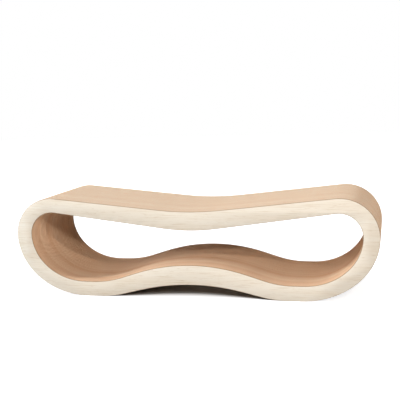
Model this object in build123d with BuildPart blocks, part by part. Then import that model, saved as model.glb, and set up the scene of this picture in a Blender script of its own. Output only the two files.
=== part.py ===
from build123d import *
from math import asin, atan2, degrees, hypot, sqrt
import os

# Cardboard cat scratcher: a low lounge in the shape of a flattened loop.
# Its core is a stack of corrugated layers, cut to one loop and glued face to face along Y.
# A printed side panel of the same loop closes the stack at the front and at the rear.
# X runs along the lounge and Z is up. The origin is on the floor, under the middle.
# All lengths are in millimetres.

# Overall size
length = 860.0
height = 235.0

# Stack along Y
panel_thickness = 4.0  # printed side panel
layer_thickness = 20.0  # core layer, a glued pack of corrugated sheets
layer_count = 13

# Outer outline
deck_dip = 31.0  # the middle of the deck lies this far below its two crests
deck_dip_radius = 730.0  # bend at the middle of the deck
shoulder_radius = 88.0  # bend from a crest of the deck to the end of the lounge
flank_reach = 174.0  # from the end of the lounge inwards to the heel of the foot
foot_flat = 35.0  # flat length of each foot, from heel to toe
arch_rise = 32.0  # height of the arch between the feet above the floor

# Walls between the outer outline and the hollow
deck_wall = 43.5  # at the middle of the deck
crest_wall = 34.0  # at the crests of the deck
end_wall = 37.0  # at the ends of the lounge
foot_wall = 35.0  # over the feet
arch_wall = 46.5  # at the top of the arch

# Outline of the hollow
hollow_dip_radius = 470.0
hollow_shoulder_radius = 53.0
hollow_flank_reach = 132.0
hollow_floor_flat = 23.0

# Radii of the bends beside the arch, as shares of the radius that a bend without a straight
# part would need for both of its arcs together. Two shares of one outline stay below 1 in sum.
toe_bend_share = 0.30
arch_bend_share = 0.66
hollow_toe_bend_share = 0.33
hollow_arch_bend_share = 0.64

quarter_turn = 90.0  # degrees
half_turn = 180.0  # degrees


def s_bend(run, rise, first_radius, second_radius):
    """Slope in degrees and length of the straight part of an S-bend that is level at both ends."""
    reach = first_radius + second_radius
    fall = reach - rise
    slope = asin(reach / hypot(run, fall)) - atan2(fall, run)
    straight = sqrt(run**2 + fall**2 - reach**2)
    return degrees(slope), straight


def loop_outline(end, crest, dip, dip_radius, shoulder, heel, toe, foot, arch, toe_share, arch_share):
    """Face inside one outline: its right half from the dip round to the arch, then the mirror image."""
    deck_slope, ramp_length = s_bend(end - shoulder, crest - dip, dip_radius, shoulder)
    bend_room = (toe**2 + (arch - foot) ** 2) / (2 * (arch - foot))
    toe_radius = toe_share * bend_room
    arch_radius = arch_share * bend_room
    arch_slope, rise_length = s_bend(toe, arch - foot, toe_radius, arch_radius)
    level = (1, 0)
    level_back = (-1, 0)
    with BuildSketch() as face:
        with BuildLine():
            dip_arc = JernArc((0, dip), level, dip_radius, deck_slope)
            ramp = PolarLine(dip_arc @ 1, ramp_length, deck_slope)
            JernArc(ramp @ 1, ramp % 1, shoulder, -quarter_turn - deck_slope)
            shoulder_height = crest - shoulder
            EllipticalCenterArc(
                (heel, shoulder_height),
                end - heel,
                shoulder_height - foot,
                start_angle=-quarter_turn,
                arc_size=quarter_turn,
            )
            Line((heel, foot), (toe, foot))
            toe_arc = JernArc((toe, foot), level_back, toe_radius, -arch_slope)
            rise = PolarLine(toe_arc @ 1, rise_length, half_turn - arch_slope)
            JernArc(rise @ 1, rise % 1, arch_radius, arch_slope)
            mirror(about=Plane.YZ)
        make_face()
    return face.sketch


def export_piece(piece, name):
    """Name a finished piece and write it to its own file."""
    piece.label = name
    export_step(piece, f"parts/{name}.step")


# Outer outline, and the hollow one wall thickness inside it
end = length / 2
heel = end - flank_reach
outer_face = loop_outline(
    end=end,
    crest=height,
    dip=height - deck_dip,
    dip_radius=deck_dip_radius,
    shoulder=shoulder_radius,
    heel=heel,
    toe=heel - foot_flat,
    foot=0,
    arch=arch_rise,
    toe_share=toe_bend_share,
    arch_share=arch_bend_share,
)

hollow_end = end - end_wall
hollow_heel = hollow_end - hollow_flank_reach
hollow_face = loop_outline(
    end=hollow_end,
    crest=height - crest_wall,
    dip=height - deck_dip - deck_wall,
    dip_radius=hollow_dip_radius,
    shoulder=hollow_shoulder_radius,
    heel=hollow_heel,
    toe=hollow_heel - hollow_floor_flat,
    foot=foot_wall,
    arch=arch_rise + arch_wall,
    toe_share=hollow_toe_bend_share,
    arch_share=hollow_arch_bend_share,
)

# Loop that the core layers and the panels share
with BuildSketch() as loop:
    add(outer_face)
    add(hollow_face, mode=Mode.SUBTRACT)

os.makedirs("parts", exist_ok=True)
core_depth = layer_count * layer_thickness
core_front = Plane.XZ.offset(core_depth / 2)
core_rear = Plane.XZ.offset(-core_depth / 2)

# Printed side panel in front of the core
with BuildPart() as front_panel:
    with BuildSketch(core_front):
        add(loop.sketch)
    extrude(amount=panel_thickness)
export_piece(front_panel.part, "front_panel")

# Layers of the core, counted from the front
for number in range(1, layer_count + 1):
    with BuildPart() as core_layer:
        with BuildSketch(core_front.offset(-number * layer_thickness)):
            add(loop.sketch)
        extrude(amount=layer_thickness)
    export_piece(core_layer.part, f"core_layer_{number:02d}")

# Printed side panel behind the core
with BuildPart() as rear_panel:
    with BuildSketch(core_rear):
        add(loop.sketch)
    extrude(amount=-panel_thickness)
export_piece(rear_panel.part, "rear_panel")
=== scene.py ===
# %% [markdown]
# # A looped cardboard scratcher
# The real object is a stack of corrugated cardboard, die-cut to one long loop, with a printed side
# panel glued on at the front and at the rear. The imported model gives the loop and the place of
# every layer. Here each layer gets its paper: flat liners, and waves of fluting between them.

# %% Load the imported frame
import math
import random

import bmesh
import bpy
from mathutils import Matrix, Vector


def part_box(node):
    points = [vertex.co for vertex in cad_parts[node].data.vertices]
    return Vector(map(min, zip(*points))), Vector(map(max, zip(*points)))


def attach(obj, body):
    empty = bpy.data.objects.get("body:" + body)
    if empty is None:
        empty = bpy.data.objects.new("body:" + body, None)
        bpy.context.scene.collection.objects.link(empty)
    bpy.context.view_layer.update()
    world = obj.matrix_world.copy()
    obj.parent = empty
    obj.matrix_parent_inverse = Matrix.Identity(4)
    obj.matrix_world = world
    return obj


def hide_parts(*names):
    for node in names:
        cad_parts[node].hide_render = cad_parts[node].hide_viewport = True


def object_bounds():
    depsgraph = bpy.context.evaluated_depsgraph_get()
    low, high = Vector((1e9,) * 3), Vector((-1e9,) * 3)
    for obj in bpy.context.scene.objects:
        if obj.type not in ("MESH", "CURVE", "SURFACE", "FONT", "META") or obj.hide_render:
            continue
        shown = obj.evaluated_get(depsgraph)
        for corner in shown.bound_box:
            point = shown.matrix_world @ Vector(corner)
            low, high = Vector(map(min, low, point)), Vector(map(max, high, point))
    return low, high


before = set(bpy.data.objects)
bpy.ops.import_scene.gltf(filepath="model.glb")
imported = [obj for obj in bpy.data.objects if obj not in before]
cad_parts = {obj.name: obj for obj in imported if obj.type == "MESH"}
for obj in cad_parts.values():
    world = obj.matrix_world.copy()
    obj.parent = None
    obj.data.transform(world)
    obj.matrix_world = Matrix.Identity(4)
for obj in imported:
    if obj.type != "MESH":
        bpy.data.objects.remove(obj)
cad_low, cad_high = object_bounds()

MM = 0.001
scene = bpy.context.scene
print("CAD box in mm:", [round(side / MM, 1) for side in cad_high - cad_low])

# %% [markdown]
# ## Camera
# A product photograph is best matched by its camera before anything is dressed. The camera could
# be moved by eye, but here its place and angles were fitted to the outline of the front panel and
# to the rear edges that show, because the loop's own curves then line up all the way round.
# The focal length is kept in pixels of the photograph's frame, which is what such a fit gives.

# %% Camera at the photograph's angle
FRAME_PIXELS = 400
FOCAL_PIXELS = 814.0
CAMERA_PLACE = Vector((454.8, -1926.2, 485.2)) * MM
CAMERA_TURN = math.radians(13.412)
CAMERA_TILT = math.radians(7.832)
CAMERA_ROLL = math.radians(-1.881)
LEVEL = math.pi / 2  # an unturned camera looks straight down, and this turn levels it

camera = bpy.data.objects.new("photo_camera", bpy.data.cameras.new("photo_camera"))
scene.collection.objects.link(camera)
camera.data.lens = FOCAL_PIXELS / FRAME_PIXELS * camera.data.sensor_width
camera.matrix_world = (
    Matrix.Translation(CAMERA_PLACE)
    @ Matrix.Rotation(CAMERA_TURN, 4, "Z")
    @ Matrix.Rotation(LEVEL - CAMERA_TILT, 4, "X")
    @ Matrix.Rotation(CAMERA_ROLL, 4, "Z")
)
scene.camera = camera
scene.view_settings.view_transform = "Standard"
print("lens in mm:", round(camera.data.lens, 2))

# %% [markdown]
# ## Helpers for materials
# Colours are easiest to read as sRGB hex values, but shaders work on linear light, so one function
# turns the one into the other. A second one adds a node with its settings and links, which keeps
# the materials below short.

# %% Colour and node helpers
def linear(hex_colour):
    """Linear RGBA of an sRGB hex colour such as "#c8a27a", by the curve of the sRGB standard."""
    channels = [int(hex_colour[i : i + 2], 16) / 255 for i in (1, 3, 5)]
    return tuple(c / 12.92 if c <= 0.04045 else ((c + 0.055) / 1.055) ** 2.4 for c in channels) + (1.0,)


def add_node(tree, kind, inputs=None, **settings):
    """Add a node, set its properties, and give its inputs a value or a link."""
    made = tree.nodes.new(kind)
    for name, value in settings.items():
        setattr(made, name, value)
    for name, value in (inputs or {}).items():
        if isinstance(value, bpy.types.NodeSocket):
            tree.links.new(value, made.inputs[name])
        else:
            made.inputs[name].default_value = value
    return made


def new_material(name):
    """An empty material with its node tree and output node."""
    material = bpy.data.materials.new(name)
    material.use_nodes = True
    tree = material.node_tree
    tree.nodes.clear()
    return material, tree, tree.nodes.new("ShaderNodeOutputMaterial")


print("a kraft brown in linear light:", [round(c, 3) for c in linear("#c8a27a")])

# %% [markdown]
# ## Tone of the sheets
# Kraft paper differs a little in tone from reel to reel, so in a stack of board each sheet has a
# tone of its own, and so has each layer that was glued up in one go. Every sheet could get its own
# material, but one material can count the sheets by their depth: the number of a sheet picks a
# random value, the number of its layer picks another, and the tone is a mix of the two.

# %% Tone by depth
SHEETS_PER_LAYER = 6
layer_low, layer_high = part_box("core_layer_01")
LAYER = layer_high.y - layer_low.y
SHEET = LAYER / SHEETS_PER_LAYER
LAYER_SHARE = 0.6  # share of the tone that the sheets of a layer have in common


def sheet_tone(tree, depth):
    """A value from 0 to 1 for the sheet and the layer at a depth."""
    inside = add_node(tree, "ShaderNodeMath", {0: depth, 1: layer_low.y}, operation="SUBTRACT")
    tones = []
    for thickness in (SHEET, LAYER):
        count = add_node(
            tree, "ShaderNodeMath", {0: inside.outputs[0], 1: thickness}, operation="DIVIDE"
        )
        whole = add_node(tree, "ShaderNodeMath", {0: count.outputs[0]}, operation="FLOOR")
        tone = add_node(
            tree, "ShaderNodeTexWhiteNoise", {"W": whole.outputs[0]}, noise_dimensions="1D"
        )
        tones.append(tone.outputs["Value"])
    mixed = add_node(tree, "ShaderNodeMix", {"Factor": LAYER_SHARE, "A": tones[0], "B": tones[1]})
    return mixed.outputs["Result"]


print("layer and sheet in mm:", round(LAYER / MM, 2), round(SHEET / MM, 2))

# %% [markdown]
# ## Nap and painted sheen
# A coat of colour lies on the deck and on the ends, where it thins out towards the floor, and the
# hollow has none. It is partly a nap of loose fibres that stand up where the outside of the stack is
# rubbed in making and in use, and partly a painted sheen of light that grazes the deck and the upper
# ends. It could be painted on by hand, but the place of a point tells enough: what is higher than
# the hollow belongs to the deck, and what is further out than the hollow to an end.

# %% Where the nap and painted sheen lie
CREST_WALL = 34.0 * MM  # from the ceiling of the hollow up to the crests of the deck
END_WALL = 37.0 * MM  # from the end of the hollow to the end of the lounge
HOLLOW_TOP = cad_high.z - CREST_WALL
HOLLOW_END = cad_high.x - END_WALL
NAP_AND_SHEEN_FADE = 2.5 * MM  # soft border of the nap and painted sheen
NAP_AND_SHEEN_START = 60.0 * MM  # height on the ends where the nap and painted sheen start
NAP_AND_SHEEN_FULL = 140.0 * MM  # height on the ends where they are full


def nap_and_sheen_share(tree, axes, nap_and_sheen_weight):
    """Share of nap and painted sheen at a place: full weight on the deck and high on the ends, and 0 in
    the hollow.
    """
    aside = add_node(tree, "ShaderNodeMath", {0: axes["X"]}, operation="ABSOLUTE").outputs[0]
    shares = []
    for place, edge in ((axes["Z"], HOLLOW_TOP), (aside, HOLLOW_END)):
        border = {"Value": place, "From Min": edge, "From Max": edge + NAP_AND_SHEEN_FADE, "To Max": nap_and_sheen_weight}
        shares.append(add_node(tree, "ShaderNodeMapRange", border).outputs["Result"])
    deck, ends = shares
    rise = {"Value": axes["Z"], "From Min": NAP_AND_SHEEN_START, "From Max": NAP_AND_SHEEN_FULL}
    height = add_node(tree, "ShaderNodeMapRange", rise).outputs["Result"]
    high_ends = add_node(tree, "ShaderNodeMath", {0: ends, 1: height}, operation="MULTIPLY").outputs[0]
    return add_node(tree, "ShaderNodeMath", {0: deck, 1: high_ends}, operation="MAXIMUM").outputs[0]


print("nap above and beyond, in mm:", round(HOLLOW_TOP / MM, 1), round(HOLLOW_END / MM, 1))

# %% [markdown]
# ## Fibres and bark
# Close up, kraft paper shows long fibres that lie along the reel, and dark specks of bark that went
# through the pulp. A photograph of paper could be mapped on, but nodes stay sharp at any distance.
# Noise that is stretched along the lounge gives the fibres, and the middles of small cells give the
# specks.

# %% Fibres and specks
FIBRE_LENGTH = 5.0 * MM
FIBRE_WIDTH = 0.5 * MM  # real fibres are a tenth of this, too fine to show
SPECK_SPACING = 4.0 * MM
SPECK_CORE = 0.32 * MM  # radius of the dark middle of a speck
SPECK_RADIUS = 0.56 * MM  # radius where the speck is gone
SPECK_SHARE = 0.35  # share of the bark's colour in the middle of a speck


def fibre_noise(tree, place):
    """Noise stretched along the lounge."""
    scale = (1 / FIBRE_LENGTH, 1 / FIBRE_WIDTH, 1 / FIBRE_WIDTH)
    along = add_node(tree, "ShaderNodeMapping", {"Vector": place, "Scale": scale}).outputs["Vector"]
    noise = add_node(tree, "ShaderNodeTexNoise", {"Vector": along, "Scale": 1.0, "Detail": 3.0})
    return noise.outputs["Fac"]


def bark_specks(tree, place):
    """Share of the bark's colour at a place."""
    cell = add_node(tree, "ShaderNodeTexVoronoi", {"Vector": place, "Scale": 1 / SPECK_SPACING})
    speck = {
        "Value": cell.outputs["Distance"],
        "From Min": SPECK_CORE / SPECK_SPACING,
        "From Max": SPECK_RADIUS / SPECK_SPACING,
        "To Min": SPECK_SHARE,
        "To Max": 0.0,
    }
    return add_node(tree, "ShaderNodeMapRange", speck).outputs["Result"]


print("specks along the lounge:", round((cad_high.x - cad_low.x) / SPECK_SPACING))

# %% [markdown]
# ## Kraft paper
# Corrugated board is unbleached kraft paper, which is uncoated: matt and warm brown, with faint
# stains, and without a gloss that would grey it in the shade. One function builds it, because the
# paper and its cut edge differ only in colours, in their coat of nap and painted sheen, and in the
# sheen of their shader. The edge could be left as plain paper, but torn fibres stand up where the
# die cuts, so its coat is paler, and its shader gets a trace of sheen.

# %% Kraft paper and its cut edge
STAIN_SIZE = 70.0 * MM
FIBRE_SHARE = 0.35  # share of the fibres in the paper's tone
STAIN_SHARE = 0.25  # share of the stains
BARK = "#6d4a2c"
FIBRE_RELIEF = 0.06 * MM
FIBRE_RELIEF_STRENGTH = 0.5
KRAFT_ROUGHNESS = (0.8, 0.95)  # from the darker noise of the fibres to the paler
KRAFT_GLOSS = 0.05
SHEEN_SPREAD = 0.35


def kraft(name, shade, tint, nap_and_sheen="#ffffff", nap_and_sheen_weight=0.0, fuzz=0.0):
    """Kraft paper between two tones. nap_and_sheen is the colour of the coat of nap and painted sheen,
    nap_and_sheen_weight its share, fuzz the sheen of loose fibres.
    """
    material, tree, output = new_material(name)
    place = add_node(tree, "ShaderNodeTexCoord").outputs["Object"]
    axes = add_node(tree, "ShaderNodeSeparateXYZ", {"Vector": place}).outputs
    fibres = fibre_noise(tree, place)
    stains = add_node(tree, "ShaderNodeTexNoise", {"Vector": place, "Scale": 1 / STAIN_SIZE})
    tone = sheet_tone(tree, axes["Y"])
    for share, noise in ((FIBRE_SHARE, fibres), (STAIN_SHARE, stains.outputs["Fac"])):
        toned = {"Factor": share, "A": tone, "B": noise}
        tone = add_node(tree, "ShaderNodeMix", toned).outputs["Result"]
    colour = linear(shade)
    specks = bark_specks(tree, place)
    # a coat of nap and painted sheen on the deck and high on the ends, none in the hollow
    nap_and_sheen_mask = nap_and_sheen_share(tree, axes, nap_and_sheen_weight)
    for share, coat in ((tone, tint), (specks, BARK), (nap_and_sheen_mask, nap_and_sheen)):
        coated = {"Factor": share, "A": colour, "B": linear(coat)}
        colour = add_node(tree, "ShaderNodeMix", coated, data_type="RGBA").outputs["Result"]
    relief = {"Height": fibres, "Strength": FIBRE_RELIEF_STRENGTH, "Distance": FIBRE_RELIEF}
    matt = {"Value": fibres, "To Min": KRAFT_ROUGHNESS[0], "To Max": KRAFT_ROUGHNESS[1]}
    shader = add_node(
        tree,
        "ShaderNodeBsdfPrincipled",
        {
            "Base Color": colour,
            "Roughness": add_node(tree, "ShaderNodeMapRange", matt).outputs["Result"],
            "Specular IOR Level": KRAFT_GLOSS,
            "Sheen Weight": fuzz,
            "Sheen Roughness": SHEEN_SPREAD,
            "Normal": add_node(tree, "ShaderNodeBump", relief).outputs["Normal"],
        },
    )
    tree.links.new(shader.outputs["BSDF"], output.inputs["Surface"])
    return material


# Paper as it comes off the reel: warm brown and matt, so the walls of the waves glow in the light
# and stay brown in the shade. On the deck and high on the ends its coat turns it a duller tan.
KRAFT = kraft("unbleached_kraft_paper", "#dfaa80", "#f9dbbc", nap_and_sheen="#c6a98a", nap_and_sheen_weight=0.4)
# Paper cut by the die: brown like the paper in the hollow, and a pale beige on the deck and the
# ends, partly torn fibres rubbed up there and partly a painted sheen of grazing light.
CUT_EDGE = kraft("die_cut_kraft_edge", "#d7ad84", "#f5dbbb", nap_and_sheen="#e6dcc9", nap_and_sheen_weight=0.85, fuzz=0.05)
print("kraft materials:", [material.name for material in (KRAFT, CUT_EDGE)])

# %% [markdown]
# ## The flat loop
# Every sheet of the real stack is stamped with the same die, so its outline is taken once, from
# the front face of a packed layer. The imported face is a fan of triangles. It is cut at the middle,
# and each half is dissolved into one clean face, which is easy to extrude and to cut again.

# %% Flat loop from a packed layer
MERGE = 0.001 * MM
FACING = 0.5  # a face looks along an axis if at least this share of its normal does


def cut_at(bm, x):
    """Cut all faces along the plane at x."""
    everything = bm.verts[:] + bm.edges[:] + bm.faces[:]
    bmesh.ops.bisect_plane(bm, geom=everything, dist=MERGE, plane_co=(x, 0, 0), plane_no=(1, 0, 0))


bm = bmesh.new()
bm.from_mesh(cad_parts["core_layer_01"].data)
bmesh.ops.remove_doubles(bm, verts=bm.verts, dist=MERGE)
bmesh.ops.delete(bm, geom=[f for f in bm.faces if f.normal.y > -FACING], context="FACES")
bmesh.ops.translate(bm, verts=bm.verts, vec=(0, -layer_low.y, 0))
cut_at(bm, 0)
for side in (-1, 1):
    half = [f for f in bm.faces if f.calc_center_median().x * side > 0]
    bmesh.ops.dissolve_faces(bm, faces=half)
loop_mesh = bpy.data.meshes.new("loop")
bm.to_mesh(loop_mesh)
print("loop faces:", len(bm.faces), "vertices:", len(bm.verts))

# %% [markdown]
# ## Strips for the fluting
# Fluting is paper that was pressed between two gear rolls into a row of waves. The waves of this
# board run upright, so the loop is cut into upright strips, a few to each wave. A grid could carry
# the wave too, but strips that end on the loop's own edge keep the cut edge clean.

# %% Loop cut into strips
FLUTE_PITCH = 6.4 * MM
STRIPS_PER_FLUTE = 6
STRIP = FLUTE_PITCH / STRIPS_PER_FLUTE

reach = int(cad_high.x / STRIP)
for number in range(-reach, reach + 1):
    if number:
        cut_at(bm, number * STRIP)
strip_mesh = bpy.data.meshes.new("strips")
bm.to_mesh(strip_mesh)
print("strip faces:", len(bm.faces), "vertices:", len(bm.verts))
bm.free()

# %% [markdown]
# ## Thickness of the paper
# A die cuts straight through the sheet, so a piece of paper is its flat or waved face, pushed back
# by its thickness. A Solidify modifier would move a waved face along its normals and lean the cut
# edge, so the face is extruded straight back. The rim that this makes is the cut edge, and its faces
# are known by their normals, which have almost no share along the depth.

# %% Extruded paper
PAPER_SLOT, CUT_SLOT, PRINT_SLOT, RIM_SLOT = range(4)  # places in a piece's list of materials
EDGE_ON = 0.3  # a face of the rim has a smaller share of its normal along the depth


def append(stack, bm):
    """Move the contents of one bmesh into another."""
    carrier = bpy.data.meshes.new("carrier")
    bm.to_mesh(carrier)
    bm.free()
    stack.from_mesh(carrier)
    bpy.data.meshes.remove(carrier)


def thicken(bm, thickness):
    """Extrude the paper towards the rear, and give the rim that the die cut its own material."""
    made = bmesh.ops.extrude_face_region(bm, geom=bm.faces[:], use_keep_orig=True)
    back = [v for v in made["geom"] if isinstance(v, bmesh.types.BMVert)]
    bmesh.ops.translate(bm, verts=back, vec=(0, thickness, 0))
    bmesh.ops.recalc_face_normals(bm, faces=bm.faces)
    for face in bm.faces:
        face.material_index = CUT_SLOT if abs(face.normal.y) < EDGE_ON else PAPER_SLOT


print("points round the cut edge:", len(loop_mesh.vertices))

# %% [markdown]
# ## Liners and fluting
# A corrugated sheet is a flat liner, a wave of fluting and another flat liner. Both kinds of paper
# come from the flat loop: a liner as it is, and the fluting after its strips were moved back and
# forth along a wave. An array of one wave could not follow the loop, so each strip keeps its place
# along the lounge and only its depth changes.

# %% Paper for one sheet
PAPER = 0.5 * MM  # fluting paper, drawn about twice as thick as it is, so that its edge shows
LINER = 0.55 * MM  # flat paper, drawn thicker for the same reason
FULL_TURN = 2 * math.pi


def add_liner(stack, front, shift):
    """Add a flat loop of paper, from the depth front towards the rear."""
    bm = bmesh.new()
    bm.from_mesh(loop_mesh)
    thicken(bm, LINER)
    bmesh.ops.translate(bm, verts=bm.verts, vec=shift + Vector((0, front, 0)))
    append(stack, bm)


def wave(step, phase):
    """Swing of the fluting at a whole strip, from -1 to 1."""
    return math.sin(FULL_TURN * (step / STRIPS_PER_FLUTE + phase))


def add_fluting(stack, front, depth, phase, shift):
    """Add a waved loop of paper that fills the depth behind front."""
    bm = bmesh.new()
    bm.from_mesh(strip_mesh)
    swing = (depth - PAPER) / 2
    for v in bm.verts:
        step = v.co.x / STRIP
        whole = math.floor(step)
        share = step - whole
        v.co.y = swing * ((1 - share) * wave(whole, phase) + share * wave(whole + 1, phase))
    thicken(bm, PAPER)
    bmesh.ops.translate(bm, verts=bm.verts, vec=shift + Vector((0, front + swing, 0)))
    append(stack, bm)


print("waves along the lounge:", round((cad_high.x - cad_low.x) / FLUTE_PITCH))

# %% [markdown]
# ## Finished pieces
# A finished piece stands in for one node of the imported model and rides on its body.

# %% From bmesh to piece
SOFT_EDGE = math.radians(60)  # edges that turn more than this stay sharp


def finish_piece(bm, name, materials, node_name):
    """Turn a bmesh into a piece that stands for a CAD node and rides on the root body."""
    mesh = bpy.data.meshes.new(name)
    bm.to_mesh(mesh)
    bm.free()
    for material in materials:
        mesh.materials.append(material)
    mesh.shade_smooth()
    mesh.set_sharp_from_angle(angle=SOFT_EDGE)
    piece = bpy.data.objects.new(name, mesh)
    scene.collection.objects.link(piece)
    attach(piece, "root")
    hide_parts(node_name)
    return piece


print("nodes to dress:", len(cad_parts))

# %% [markdown]
# ## Core layers
# The layers are glued up from single sheets, and no two sheets line up exactly: each sits a hair
# off, and its waves start somewhere else. Small seeded offsets give that, because a stack of equal
# copies shows bands and rings that real board doesn't have.

# %% Corrugated core
GLUE = 0.04 * MM  # film of glue between two sheets
SIDE_PLAY = 0.2 * MM  # a sheet sits up to this far off to a side
TOP_PLAY = 0.3 * MM  # and up to this far too high
random.seed(7)


def corrugated_layer(number):
    """One core layer, sheet by sheet from the front."""
    node_name = f"core_layer_{number:02d}"
    layer_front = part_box(node_name)[0].y
    stack = bmesh.new()
    for index in range(SHEETS_PER_LAYER):
        front = layer_front + index * SHEET
        back_liner = front + SHEET - GLUE - LINER
        shift = Vector((random.uniform(-SIDE_PLAY, SIDE_PLAY), 0, random.uniform(0, TOP_PLAY)))
        add_liner(stack, front, shift)
        add_fluting(stack, front + LINER, back_liner - front - LINER, random.random(), shift)
        add_liner(stack, back_liner, shift)
    return finish_piece(
        stack, f"corrugated_layer_{number:02d}", [KRAFT, CUT_EDGE], node_name
    )


layers = [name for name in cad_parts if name.startswith("core_layer")]
for number in range(1, len(layers) + 1):
    piece = corrugated_layer(number)
print(len(layers), "layers, faces in the last one:", len(piece.data.polygons))

# %% [markdown]
# ## Printed paper
# The side panels are faced with white paper that is printed with pale sawn wood and coated matt.
# The print has broad soft bands, fine straight grain along the lounge and short darker pores.
# Real grain could be painted, but three noises, each stretched along the lounge to the size of
# what it stands for, give the same mix and differ from the front panel to the rear one.

# %% Printed paper material
BAND = (320 * MM, 60 * MM, 16 * MM)
GRAIN = (50 * MM, 60 * MM, 2.4 * MM)  # printed lines are under a millimetre, too fine to show
PORE = (16 * MM, 60 * MM, 2.0 * MM)  # drawn about twice as high as printed, for the same reason
GRAIN_INK = {"From Min": 0.52, "From Max": 0.76, "To Max": 0.4}  # noise that prints, most ink
PORE_INK = {"From Min": 0.62, "From Max": 0.76, "To Max": 0.4}  # the same for the pores
PRINT_ROUGHNESS = {"To Min": 0.5, "To Max": 0.62}  # a matt coat, a little duller on the grain
PRINT_GLOSS = 0.4
INK_RELIEF = 0.05 * MM
INK_RELIEF_STRENGTH = 0.15


def wood_print():
    """Matt paper with a print of pale wood, its grain along the lounge."""
    material, tree, output = new_material("matt_wood_print_paper")
    place = add_node(tree, "ShaderNodeTexCoord").outputs["Object"]
    noises = []
    for size in (BAND, GRAIN, PORE):
        scale = [1 / length for length in size]
        stretched = add_node(tree, "ShaderNodeMapping", {"Vector": place, "Scale": scale})
        noise = {"Vector": stretched.outputs["Vector"], "Scale": 1.0, "Detail": 2.0}
        noises.append(add_node(tree, "ShaderNodeTexNoise", noise).outputs["Fac"])
    bands, grain, pores = noises
    lines = add_node(tree, "ShaderNodeMapRange", {"Value": grain, **GRAIN_INK}).outputs["Result"]
    dashes = add_node(tree, "ShaderNodeMapRange", {"Value": pores, **PORE_INK}).outputs["Result"]
    matt = add_node(tree, "ShaderNodeMapRange", {"Value": grain, **PRINT_ROUGHNESS}).outputs["Result"]
    colour = linear("#e6d6c0")
    for share, ink in ((bands, "#f0e8da"), (lines, "#c9b08c"), (dashes, "#bfa27a")):
        inked = {"Factor": share, "A": colour, "B": linear(ink)}
        colour = add_node(tree, "ShaderNodeMix", inked, data_type="RGBA").outputs["Result"]
    relief = {"Height": grain, "Strength": INK_RELIEF_STRENGTH, "Distance": INK_RELIEF}
    normal = add_node(tree, "ShaderNodeBump", relief).outputs["Normal"]
    shader = add_node(
        tree,
        "ShaderNodeBsdfPrincipled",
        {"Base Color": colour, "Roughness": matt, "Specular IOR Level": PRINT_GLOSS, "Normal": normal},
    )
    tree.links.new(shader.outputs["BSDF"], output.inputs["Surface"])
    return material


# Printed and coated matt: a cream face with quiet streaks and a broad, faint gloss.
PRINT = wood_print()
sizes = [[round(length / MM, 1) for length in size] for size in (BAND, GRAIN, PORE)]
print("print noises in mm:", sizes)

# %% [markdown]
# ## Printed face
# The die presses the printed face down at its rim, and the print breaks away there, so brown board
# shows as a thin dark line round the pale print. A darker line could be painted on the face, but a
# small bevel also gives the rounded rim that the die leaves, and the bevel's faces get the colour.

# %% Printed face with a crushed rim
# Board crushed by the die: dense, bare and darker brown, which gives the line round the print.
RIM = kraft("crushed_board_rim", "#93704f", "#a98563")
FACE = 1.0 * MM
EASE = 0.8 * MM  # width of the crushed rim
STILL_FLAT = 0.95  # a face that the bevel left flat has at least this share of its normal outwards


def add_printed_face(stack, front, outward):
    """Add the printed face of a panel. Outward is -1 on the front panel and 1 on the rear one."""
    bm = bmesh.new()
    bm.from_mesh(loop_mesh)
    thicken(bm, FACE)
    shown = [f for f in bm.faces if f.normal.y * outward > FACING]
    rim = [e for e in bm.edges if len([f for f in e.link_faces if f in shown]) == 1]
    bmesh.ops.bevel(
        bm,
        geom=rim,
        offset=EASE,
        offset_type="OFFSET",
        affect="EDGES",
        segments=2,
        profile=0.5,
        material=-1,
    )
    for face in bm.faces:
        face.material_index = PRINT_SLOT if face.normal.y * outward > STILL_FLAT else RIM_SLOT
    bmesh.ops.translate(bm, verts=bm.verts, vec=(0, front, 0))
    append(stack, bm)


print("printed face and its rim in mm:", round(FACE / MM, 2), round(EASE / MM, 2))

# %% [markdown]
# ## Side panels
# Each side panel is a corrugated sheet of its own: a printed face outside, fluting, and a liner
# towards the core. A plain slab would be quicker, but it would show the print on its edge, where
# the real panel shows brown paper and the ends of the waves.

# %% Printed side panels
PANEL_PHASE = 0.3  # where the waves of a panel start, as a share of a wave


def side_panel(node_name, outward):
    """A printed panel. The printed face lies at the front for -1 and at the rear for 1."""
    low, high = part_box(node_name)
    if outward < 0:
        face_front = low.y
        wave_front = low.y + FACE
        liner_front = high.y - LINER - GLUE
    else:
        liner_front = low.y + GLUE
        wave_front = low.y + GLUE + LINER
        face_front = high.y - FACE
    wave_depth = high.y - low.y - FACE - LINER - GLUE
    still = Vector((0, 0, 0))
    stack = bmesh.new()
    add_printed_face(stack, face_front, outward)
    add_fluting(stack, wave_front, wave_depth, PANEL_PHASE, still)
    add_liner(stack, liner_front, still)
    return finish_piece(
        stack, f"printed_{node_name}", [KRAFT, CUT_EDGE, PRINT, RIM], node_name
    )


for node_name, outward in (("front_panel", -1), ("rear_panel", 1)):
    piece = side_panel(node_name, outward)
    print(piece.name, "faces:", len(piece.data.polygons))

# %% [markdown]
# ## Floor
# Product pictures of this kind stand on a white sweep, a sheet of paper that runs up behind the
# object. A curved sheet could be built, but a flat floor is enough here, because its material will
# meet the white background without a line.

# %% White floor
FLOOR_REACH = 6.0  # metres from the middle to an edge

floor_mesh = bpy.data.meshes.new("floor")
bm = bmesh.new()
bmesh.ops.create_grid(bm, x_segments=1, y_segments=1, size=FLOOR_REACH)
bm.to_mesh(floor_mesh)
bm.free()
floor = bpy.data.objects.new("floor", floor_mesh)
scene.collection.objects.link(floor)
print("floor across in m:", floor.dimensions.x)
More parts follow.
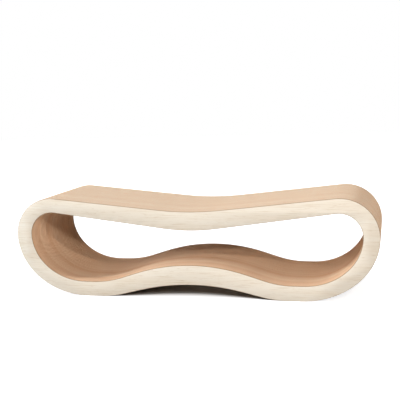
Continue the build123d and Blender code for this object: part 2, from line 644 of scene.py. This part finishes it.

# %% [markdown]
# ## Glow of the floor
# For what the camera sees, the open floor glows white. Under the arch the glow fades, and that fade
# paints the shape of the shadow there over the paper's own shade. It follows how the shadow deepens
# on a real sweep: with the distance from the edge, counted in heights of the gap, because light
# reaches about that far under a low roof. An Ambient Occlusion node could measure that, but it is
# grainy, and the form of the arch is known.

# %% Glow that fades under the arch
FLANK_REACH = 174.0 * MM  # from the end of the lounge to the heel of a foot
FOOT_FLAT = 35.0 * MM  # from the heel to the toe, where the arch begins
TOE = cad_high.x - FLANK_REACH - FOOT_FLAT
ARCH_RISE = 32.0 * MM
TOE_GAP = 0.1  # least square root of the gap, as a share of the rise, so that it never closes
NEAR_GLOW = 0.85  # glow round the lounge, which leaves a faint shadow
UNDER = {"From Min": 0.4, "From Max": 1.8, "To Min": NEAR_GLOW, "To Max": 0.0}  # painted shadow under the arch, in heights of the gap
BESIDE = {"From Min": 1.0, "From Max": 1.1, "To Max": NEAR_GLOW}  # in distances of the toe
FAR = {"From Min": 0.8, "From Max": 1.6, "To Max": 1.0}  # in metres


def gap_height(tree, along):
    """Height of the gap under the arch, for a place along the lounge in distances of the toe."""
    square = add_node(tree, "ShaderNodeMath", {0: along, 1: along}, operation="MULTIPLY").outputs[0]
    fall = {"Value": square, "To Min": 1.0, "To Max": TOE_GAP}
    root = add_node(tree, "ShaderNodeMapRange", fall).outputs["Result"]
    share = add_node(tree, "ShaderNodeMath", {0: root, 1: root}, operation="MULTIPLY").outputs[0]
    return add_node(tree, "ShaderNodeMath", {0: share, 1: ARCH_RISE}, operation="MULTIPLY").outputs[0]


def floor_glow(tree):
    """Glow at a place on the floor: 0 deep under the arch, and 1 far from the lounge."""
    place = add_node(tree, "ShaderNodeTexCoord").outputs["Object"]
    apart = add_node(tree, "ShaderNodeVectorMath", {0: place}, operation="ABSOLUTE").outputs["Vector"]
    axes = add_node(tree, "ShaderNodeSeparateXYZ", {"Vector": apart}).outputs
    along = add_node(tree, "ShaderNodeMath", {0: axes["X"], 1: TOE}, operation="DIVIDE").outputs[0]
    inward = add_node(
        tree, "ShaderNodeMath", {0: cad_high.y, 1: axes["Y"]}, operation="SUBTRACT"
    ).outputs[0]
    covered = add_node(
        tree, "ShaderNodeMath", {0: inward, 1: gap_height(tree, along)}, operation="DIVIDE"
    ).outputs[0]
    under = add_node(
        tree, "ShaderNodeMapRange", {"Value": covered, **UNDER}, interpolation_type="SMOOTHSTEP"
    ).outputs["Result"]
    beside = add_node(tree, "ShaderNodeMapRange", {"Value": along, **BESIDE}).outputs["Result"]
    distance = add_node(tree, "ShaderNodeVectorMath", {0: place}, operation="LENGTH").outputs["Value"]
    far = add_node(tree, "ShaderNodeMapRange", {"Value": distance, **FAR}).outputs["Result"]
    near = add_node(tree, "ShaderNodeMath", {0: under, 1: beside}, operation="MAXIMUM").outputs[0]
    return add_node(tree, "ShaderNodeMath", {0: near, 1: far}, operation="MAXIMUM").outputs[0]


print("arch from toe to toe in mm:", round(2 * TOE / MM, 1))

# %% [markdown]
# ## White sweep
# The sweep is matt white paper. It takes light and shadow as any white floor does, and its glow is
# added on top. More light could make it white too, but that would wash out the lounge. Light Path
# tells the rays apart, so the glow shows to the camera, in a gloss and through glass, and doesn't
# light the lounge.

# %% White sweep material
def shown_directly(tree):
    """1 for rays from the camera, and for those seen in a gloss or through glass."""
    path = add_node(tree, "ShaderNodeLightPath").outputs
    shown = path["Is Camera Ray"]
    for kind in ("Is Glossy Ray", "Is Transmission Ray"):
        either = {0: shown, 1: path[kind]}
        shown = add_node(tree, "ShaderNodeMath", either, operation="MAXIMUM").outputs[0]
    return shown


# Uncoated white paper: without a gloss, it gives the eye only the soft shadow and then pure white.
material, tree, output = new_material("matt_white_paper_sweep")
paper = add_node(tree, "ShaderNodeBsdfDiffuse", {"Color": linear("#bcbcbc")})
strength = add_node(
    tree, "ShaderNodeMath", {0: floor_glow(tree), 1: shown_directly(tree)}, operation="MULTIPLY"
).outputs[0]
glow = add_node(tree, "ShaderNodeEmission", {"Color": linear("#ffffff"), "Strength": strength})
sweep = add_node(tree, "ShaderNodeAddShader", {0: paper.outputs[0], 1: glow.outputs[0]})
tree.links.new(sweep.outputs[0], output.inputs["Surface"])
floor_mesh.materials.append(material)
print("nodes of the sweep:", len(tree.nodes))

# %% [markdown]
# ## White room
# The background of such a picture is plain white, but the room behind the camera is dim, because
# the lamps do the work. A grey background with strong lamps would give the same light and the wrong
# picture, so the world is white where it is seen and weak where it gives light.

# %% World
ROOM = 0.04  # strength of the room's own light

world = bpy.data.worlds.new("white_room")
scene.world = world
world.use_nodes = True
tree = world.node_tree
tree.nodes.clear()
soft = add_node(tree, "ShaderNodeBackground", {"Color": linear("#ffffff"), "Strength": ROOM})
white = add_node(tree, "ShaderNodeBackground", {"Color": linear("#ffffff"), "Strength": 1.0})
room = add_node(
    tree, "ShaderNodeMixShader", {0: shown_directly(tree), 1: soft.outputs[0], 2: white.outputs[0]}
)
add_node(tree, "ShaderNodeOutputWorld", {"Surface": room.outputs[0]})
print("room light:", ROOM)

# %% [markdown]
# ## Lamps
# Large lamps show paper best, because hard light would turn every sheet into a line. A cool softbox
# at the left gives most of the light, one above lights the deck, one behind lights the rear, and a
# weak one at the right fills in. The left end of the hollow shows shadows with clear edges, which a
# large lamp can't cast, so two small lamps stand at the front right and each casts one of them.

# %% Softboxes
AIM = Vector((0, 0, 110)) * MM  # near the middle of the lounge, and every lamp faces it
COOL = "#e8f4ff"  # like daylight
WARM = "#fffaf5"  # close to white
AMBER = "#fff1e2"  # a little warmer, for the shaded rear


def softbox(name, place, size, watts, tint):
    """A square lamp that faces the lounge and doesn't show in the picture. Lengths are in metres."""
    lamp = bpy.data.objects.new(name, bpy.data.lights.new(name, "AREA"))
    scene.collection.objects.link(lamp)
    lamp.data.size = size
    lamp.data.energy = watts
    lamp.data.color = linear(tint)[:3]
    place = Vector(place)
    turn = (place - AIM).to_track_quat("Z", "Y").to_matrix().to_4x4()
    lamp.matrix_world = Matrix.Translation(place) @ turn
    lamp.visible_camera = False


softbox("left_softbox", place=(-4.4, -1.4, 2.3), size=1.0, watts=238.0, tint=COOL)
softbox("right_softbox", place=(2.6, -2.6, 1.3), size=1.6, watts=10.0, tint=WARM)
softbox("upper_key", place=(1.56, -2.6, 1.85), size=0.15, watts=25.0, tint=WARM)
softbox("lower_key", place=(0.95, -2.6, 1.28), size=0.15, watts=22.5, tint=WARM)
softbox("top_softbox", place=(0.1, -0.1, 2.8), size=1.8, watts=45.0, tint=WARM)
softbox("rear_softbox", place=(-1.2, 3.4, 0.4), size=0.8, watts=84.0, tint=AMBER)
